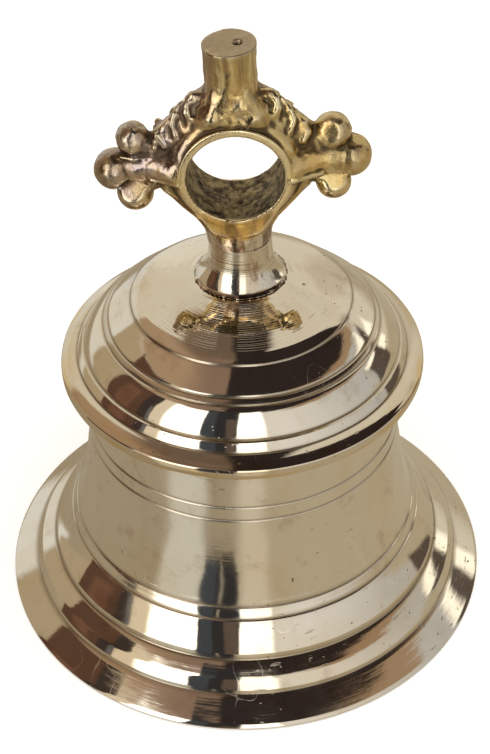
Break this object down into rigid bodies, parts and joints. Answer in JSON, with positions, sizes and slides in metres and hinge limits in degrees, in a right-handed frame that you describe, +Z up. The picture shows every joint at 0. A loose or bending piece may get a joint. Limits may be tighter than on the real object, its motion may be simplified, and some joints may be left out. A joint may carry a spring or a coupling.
{
  "type": "hanging bell",
  "caption": "Cast and turned metal bell with a moulded shoulder and flared lip, a ring crown with trefoil arms, and a clapper that swings inside.",
  "frame": {"origin": "centre of the lip's flat rim, on the bell's axis", "axes": "+Z up the bell's axis to the crown; the hanging ring's hole runs along Y and the crown's arms lie along X"},
  "size_m": [0.254, 0.254, 0.3146],
  "materials": {
    "bell_metal": "mirror-polished over turning marks, pale bell metal",
    "neck_metal": "fine-turned, slightly blotched",
    "crown_brass": "buffed casting, tarnished in its recesses",
    "bright_steel": "plain zinc-grey steel",
    "forged_iron": "dark forged iron, worn where it rubs",
    "clapper_brass": "dull turned brass with strike marks"
  },
  "bodies": {
    "bell": {"bell_shell": "bell_metal", "neck_collar": "neck_metal", "crown_casting": "crown_brass", "clapper_eyebolt": "bright_steel", "crown_washer": "bright_steel", "crown_nut": "bright_steel"},
    "shackle": {"clapper_shackle": "forged_iron", "shackle_pin": "bright_steel", "pin_washer": "bright_steel", "pin_cotter": "bright_steel"},
    "clapper": {"clapper_rod": "forged_iron", "clapper_ball": "clapper_brass", "ball_washer": "bright_steel", "ball_nut": "bright_steel"}
  },
  "joints": [
    {"name": "shackle_rock", "type": "hinge", "parent": "bell", "child": "shackle", "pos_m": [0, 0, 0.1422], "axis": [1, 0, 0], "range_deg": [-6, 6]},
    {"name": "clapper_swing", "type": "hinge", "parent": "shackle", "child": "clapper", "pos_m": [0, 0, 0.13], "axis": [0, 1, 0], "range_deg": [-35.5, 35.5]}
  ]
}
